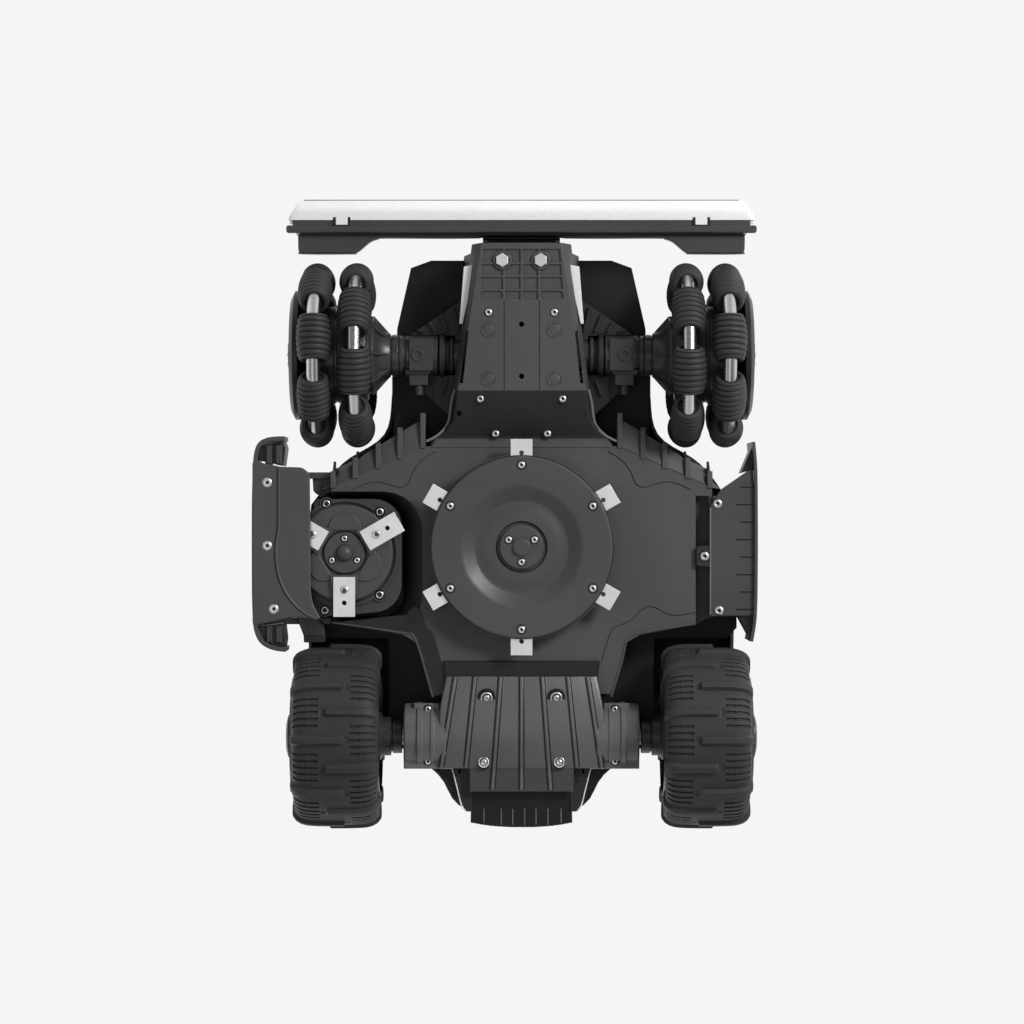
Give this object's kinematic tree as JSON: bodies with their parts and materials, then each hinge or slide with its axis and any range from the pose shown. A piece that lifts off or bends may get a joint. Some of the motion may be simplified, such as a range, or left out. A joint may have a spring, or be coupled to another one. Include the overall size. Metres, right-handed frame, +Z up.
{
  "type": "robotic lawn mower",
  "caption": "Robotic lawn mower with omni front wheels, lugged rear wheels, a blade disc under the middle, an edge-trimming disc on its side and a sprung bumper.",
  "frame": {"origin": "on the ground under the centre of the machine's box; the machine's middle plane is at x = 14.5 mm, because the edge guard reaches further out than the skirt", "axes": "+Z up, -Y forwards, +X to the machine's left"},
  "size_m": [0.467, 0.588, 0.285],
  "materials": {
    "deck_plastic": "fine moulded texture",
    "keel_plastic": "fine moulded texture",
    "cover_plastic": "fine moulded texture",
    "dark_plastic": "fine moulded texture",
    "skirt_plastic": "fine moulded texture",
    "shell_plastic": "satin",
    "hub_plastic": "satin",
    "gear_housing": "satin",
    "bumper_white": "satin white",
    "tray_plastic": "fine moulded texture",
    "roller_rubber": "ribbed rubber",
    "tyre_rubber": "moulded rubber",
    "rim_plastic": "satin",
    "blade_steel": "bead blasted",
    "screw_steel": "zinc plated",
    "motor_metal": "turned",
    "button_red": "gloss red",
    "battery_case": "shrink sleeve",
    "circuit_board": "solder mask"
  },
  "bodies": {
    "chassis": {"chassis_deck": "deck_plastic", "keel_cover": "keel_plastic", "upper_shell": "shell_plastic", "rear_axle_cover": "cover_plastic", "tail_grille": "dark_plastic", "side_skirt": "skirt_plastic", "battery_pack": "battery_case", "control_board": "circuit_board", "rear_gearmotors": "motor_metal", "chassis_screws": "screw_steel", "edge_housing": "skirt_plastic", "edge_guard": "skirt_plastic"},
    "stop_button_body": {"stop_button": "button_red"},
    "bumper": {"bumper_cover": "bumper_white", "bumper_tray": "tray_plastic"},
    "front_axle": {"front_axle_beam": "dark_plastic", "front_gearmotors": "gear_housing"},
    "cutter": {"cutter_carriage": "gear_housing"},
    "main_disc": {"cutting_disc": "deck_plastic", "disc_blades": "blade_steel"},
    "trim_disc": {"edge_disc": "deck_plastic", "edge_blades": "blade_steel"},
    "omni_wheel_left": {"omni_hub_left": "hub_plastic"},
    "omni_wheel_right": {"omni_hub_right": "hub_plastic"},
    "rear_wheel_left": {"rear_rim_left": "rim_plastic", "rear_tyre_left": "tyre_rubber"},
    "rear_wheel_right": {"rear_rim_right": "rim_plastic", "rear_tyre_right": "tyre_rubber"},
    "roller_left_inner_1_body": {"roller_left_inner_1": "roller_rubber"},
    "roller_left_inner_2_body": {"roller_left_inner_2": "roller_rubber"},
    "roller_left_inner_3_body": {"roller_left_inner_3": "roller_rubber"},
    "roller_left_inner_4_body": {"roller_left_inner_4": "roller_rubber"},
    "roller_left_inner_5_body": {"roller_left_inner_5": "roller_rubber"},
    "roller_left_inner_6_body": {"roller_left_inner_6": "roller_rubber"},
    "roller_left_inner_7_body": {"roller_left_inner_7": "roller_rubber"},
    "roller_left_inner_8_body": {"roller_left_inner_8": "roller_rubber"},
    "roller_left_outer_1_body": {"roller_left_outer_1": "roller_rubber"},
    "roller_left_outer_2_body": {"roller_left_outer_2": "roller_rubber"},
    "roller_left_outer_3_body": {"roller_left_outer_3": "roller_rubber"},
    "roller_left_outer_4_body": {"roller_left_outer_4": "roller_rubber"},
    "roller_left_outer_5_body": {"roller_left_outer_5": "roller_rubber"},
    "roller_left_outer_6_body": {"roller_left_outer_6": "roller_rubber"},
    "roller_left_outer_7_body": {"roller_left_outer_7": "roller_rubber"},
    "roller_left_outer_8_body": {"roller_left_outer_8": "roller_rubber"},
    "roller_right_inner_1_body": {"roller_right_inner_1": "roller_rubber"},
    "roller_right_inner_2_body": {"roller_right_inner_2": "roller_rubber"},
    "roller_right_inner_3_body": {"roller_right_inner_3": "roller_rubber"},
    "roller_right_inner_4_body": {"roller_right_inner_4": "roller_rubber"},
    "roller_right_inner_5_body": {"roller_right_inner_5": "roller_rubber"},
    "roller_right_inner_6_body": {"roller_right_inner_6": "roller_rubber"},
    "roller_right_inner_7_body": {"roller_right_inner_7": "roller_rubber"},
    "roller_right_inner_8_body": {"roller_right_inner_8": "roller_rubber"},
    "roller_right_outer_1_body": {"roller_right_outer_1": "roller_rubber"},
    "roller_right_outer_2_body": {"roller_right_outer_2": "roller_rubber"},
    "roller_right_outer_3_body": {"roller_right_outer_3": "roller_rubber"},
    "roller_right_outer_4_body": {"roller_right_outer_4": "roller_rubber"},
    "roller_right_outer_5_body": {"roller_right_outer_5": "roller_rubber"},
    "roller_right_outer_6_body": {"roller_right_outer_6": "roller_rubber"},
    "roller_right_outer_7_body": {"roller_right_outer_7": "roller_rubber"},
    "roller_right_outer_8_body": {"roller_right_outer_8": "roller_rubber"}
  },
  "joints": [
    {"name": "axle_rock", "type": "hinge", "parent": "chassis", "child": "front_axle", "pos_m": [0.0145, -0.147, 0.086], "axis": [0, 1, 0], "range_deg": [-4, 4]},
    {"name": "bumper_press", "type": "slide", "parent": "chassis", "child": "bumper", "axis": [0, 1, 0], "range_m": [0, 0.006], "stiffness_N_per_m": 1500, "springref_m": -0.006},
    {"name": "cut_height", "type": "slide", "parent": "chassis", "child": "cutter", "axis": [0, 0, 1], "range_m": [-0.02, 0.01]},
    {"name": "cutting_disc_spin", "type": "hinge", "parent": "cutter", "child": "main_disc", "pos_m": [0.0145, 0.0314, 0.05], "axis": [0, 0, 1], "continuous": true},
    {"name": "edge_disc_spin", "type": "hinge", "parent": "chassis", "child": "trim_disc", "pos_m": [-0.1487, 0.0368, 0.05], "axis": [0, 0, 1], "continuous": true},
    {"name": "front_wheel_left_spin", "type": "hinge", "parent": "front_axle", "child": "omni_wheel_left", "pos_m": [0.1845, -0.147, 0.086], "axis": [1, 0, 0], "continuous": true},
    {"name": "front_wheel_right_spin", "type": "hinge", "parent": "front_axle", "child": "omni_wheel_right", "pos_m": [-0.1555, -0.147, 0.086], "axis": [1, 0, 0], "continuous": true},
    {"name": "rear_wheel_left_spin", "type": "hinge", "parent": "chassis", "child": "rear_wheel_left", "pos_m": [0.1855, 0.208, 0.086], "axis": [1, 0, 0], "continuous": true},
    {"name": "rear_wheel_right_spin", "type": "hinge", "parent": "chassis", "child": "rear_wheel_right", "pos_m": [-0.1565, 0.208, 0.086], "axis": [1, 0, 0], "continuous": true},
    {"name": "stop_button_press", "type": "slide", "parent": "chassis", "child": "stop_button_body", "axis": [0, 0, -1], "range_m": [0, 0.005], "stiffness_N_per_m": 1200, "springref_m": -0.003},
    {"name": "roller_left_inner_1_spin", "type": "hinge", "parent": "omni_wheel_left", "child": "roller_left_inner_1_body", "pos_m": [0.1675, -0.13042, 0.01799], "axis": [0, 0.9715, 0.2368], "continuous": true},
    {"name": "roller_left_inner_2_spin", "type": "hinge", "parent": "omni_wheel_left", "child": "roller_left_inner_2_body", "pos_m": [0.1675, -0.08719, 0.04963], "axis": [0, 0.5195, 0.8545], "continuous": true},
    {"name": "roller_left_inner_3_spin", "type": "hinge", "parent": "omni_wheel_left", "child": "roller_left_inner_3_body", "pos_m": [0.1675, -0.07899, 0.10258], "axis": [0, -0.2368, 0.9715], "continuous": true},
    {"name": "roller_left_inner_4_spin", "type": "hinge", "parent": "omni_wheel_left", "child": "roller_left_inner_4_body", "pos_m": [0.1675, -0.11063, 0.14581], "axis": [0, -0.8545, 0.5195], "continuous": true},
    {"name": "roller_left_inner_5_spin", "type": "hinge", "parent": "omni_wheel_left", "child": "roller_left_inner_5_body", "pos_m": [0.1675, -0.16358, 0.15401], "axis": [0, -0.9715, -0.2368], "continuous": true},
    {"name": "roller_left_inner_6_spin", "type": "hinge", "parent": "omni_wheel_left", "child": "roller_left_inner_6_body", "pos_m": [0.1675, -0.20681, 0.12237], "axis": [0, -0.5195, -0.8545], "continuous": true},
    {"name": "roller_left_inner_7_spin", "type": "hinge", "parent": "omni_wheel_left", "child": "roller_left_inner_7_body", "pos_m": [0.1675, -0.21501, 0.06942], "axis": [0, 0.2368, -0.9715], "continuous": true},
    {"name": "roller_left_inner_8_spin", "type": "hinge", "parent": "omni_wheel_left", "child": "roller_left_inner_8_body", "pos_m": [0.1675, -0.18337, 0.02619], "axis": [0, 0.8545, -0.5195], "continuous": true},
    {"name": "roller_left_outer_1_spin", "type": "hinge", "parent": "omni_wheel_left", "child": "roller_left_outer_1_body", "pos_m": [0.2045, -0.15964, 0.01715], "axis": [0, 0.9836, -0.1805], "continuous": true},
    {"name": "roller_left_outer_2_spin", "type": "hinge", "parent": "omni_wheel_left", "child": "roller_left_outer_2_body", "pos_m": [0.2045, -0.10725, 0.02838], "axis": [0, 0.8231, 0.5678], "continuous": true},
    {"name": "roller_left_outer_3_spin", "type": "hinge", "parent": "omni_wheel_left", "child": "roller_left_outer_3_body", "pos_m": [0.2045, -0.07815, 0.07336], "axis": [0, 0.1805, 0.9836], "continuous": true},
    {"name": "roller_left_outer_4_spin", "type": "hinge", "parent": "omni_wheel_left", "child": "roller_left_outer_4_body", "pos_m": [0.2045, -0.08938, 0.12575], "axis": [0, -0.5678, 0.8231], "continuous": true},
    {"name": "roller_left_outer_5_spin", "type": "hinge", "parent": "omni_wheel_left", "child": "roller_left_outer_5_body", "pos_m": [0.2045, -0.13436, 0.15485], "axis": [0, -0.9836, 0.1805], "continuous": true},
    {"name": "roller_left_outer_6_spin", "type": "hinge", "parent": "omni_wheel_left", "child": "roller_left_outer_6_body", "pos_m": [0.2045, -0.18675, 0.14362], "axis": [0, -0.8231, -0.5678], "continuous": true},
    {"name": "roller_left_outer_7_spin", "type": "hinge", "parent": "omni_wheel_left", "child": "roller_left_outer_7_body", "pos_m": [0.2045, -0.21585, 0.09864], "axis": [0, -0.1805, -0.9836], "continuous": true},
    {"name": "roller_left_outer_8_spin", "type": "hinge", "parent": "omni_wheel_left", "child": "roller_left_outer_8_body", "pos_m": [0.2045, -0.20462, 0.04625], "axis": [0, 0.5678, -0.8231], "continuous": true},
    {"name": "roller_right_inner_1_spin", "type": "hinge", "parent": "omni_wheel_right", "child": "roller_right_inner_1_body", "pos_m": [-0.1385, -0.13042, 0.01799], "axis": [0, 0.9715, 0.2368], "continuous": true},
    {"name": "roller_right_inner_2_spin", "type": "hinge", "parent": "omni_wheel_right", "child": "roller_right_inner_2_body", "pos_m": [-0.1385, -0.08719, 0.04963], "axis": [0, 0.5195, 0.8545], "continuous": true},
    {"name": "roller_right_inner_3_spin", "type": "hinge", "parent": "omni_wheel_right", "child": "roller_right_inner_3_body", "pos_m": [-0.1385, -0.07899, 0.10258], "axis": [0, -0.2368, 0.9715], "continuous": true},
    {"name": "roller_right_inner_4_spin", "type": "hinge", "parent": "omni_wheel_right", "child": "roller_right_inner_4_body", "pos_m": [-0.1385, -0.11063, 0.14581], "axis": [0, -0.8545, 0.5195], "continuous": true},
    {"name": "roller_right_inner_5_spin", "type": "hinge", "parent": "omni_wheel_right", "child": "roller_right_inner_5_body", "pos_m": [-0.1385, -0.16358, 0.15401], "axis": [0, -0.9715, -0.2368], "continuous": true},
    {"name": "roller_right_inner_6_spin", "type": "hinge", "parent": "omni_wheel_right", "child": "roller_right_inner_6_body", "pos_m": [-0.1385, -0.20681, 0.12237], "axis": [0, -0.5195, -0.8545], "continuous": true},
    {"name": "roller_right_inner_7_spin", "type": "hinge", "parent": "omni_wheel_right", "child": "roller_right_inner_7_body", "pos_m": [-0.1385, -0.21501, 0.06942], "axis": [0, 0.2368, -0.9715], "continuous": true},
    {"name": "roller_right_inner_8_spin", "type": "hinge", "parent": "omni_wheel_right", "child": "roller_right_inner_8_body", "pos_m": [-0.1385, -0.18337, 0.02619], "axis": [0, 0.8545, -0.5195], "continuous": true},
    {"name": "roller_right_outer_1_spin", "type": "hinge", "parent": "omni_wheel_right", "child": "roller_right_outer_1_body", "pos_m": [-0.1755, -0.15964, 0.01715], "axis": [0, 0.9836, -0.1805], "continuous": true},
    {"name": "roller_right_outer_2_spin", "type": "hinge", "parent": "omni_wheel_right", "child": "roller_right_outer_2_body", "pos_m": [-0.1755, -0.10725, 0.02838], "axis": [0, 0.8231, 0.5678], "continuous": true},
    {"name": "roller_right_outer_3_spin", "type": "hinge", "parent": "omni_wheel_right", "child": "roller_right_outer_3_body", "pos_m": [-0.1755, -0.07815, 0.07336], "axis": [0, 0.1805, 0.9836], "continuous": true},
    {"name": "roller_right_outer_4_spin", "type": "hinge", "parent": "omni_wheel_right", "child": "roller_right_outer_4_body", "pos_m": [-0.1755, -0.08938, 0.12575], "axis": [0, -0.5678, 0.8231], "continuous": true},
    {"name": "roller_right_outer_5_spin", "type": "hinge", "parent": "omni_wheel_right", "child": "roller_right_outer_5_body", "pos_m": [-0.1755, -0.13436, 0.15485], "axis": [0, -0.9836, 0.1805], "continuous": true},
    {"name": "roller_right_outer_6_spin", "type": "hinge", "parent": "omni_wheel_right", "child": "roller_right_outer_6_body", "pos_m": [-0.1755, -0.18675, 0.14362], "axis": [0, -0.8231, -0.5678], "continuous": true},
    {"name": "roller_right_outer_7_spin", "type": "hinge", "parent": "omni_wheel_right", "child": "roller_right_outer_7_body", "pos_m": [-0.1755, -0.21585, 0.09864], "axis": [0, -0.1805, -0.9836], "continuous": true},
    {"name": "roller_right_outer_8_spin", "type": "hinge", "parent": "omni_wheel_right", "child": "roller_right_outer_8_body", "pos_m": [-0.1755, -0.20462, 0.04625], "axis": [0, 0.5678, -0.8231], "continuous": true}
  ]
}
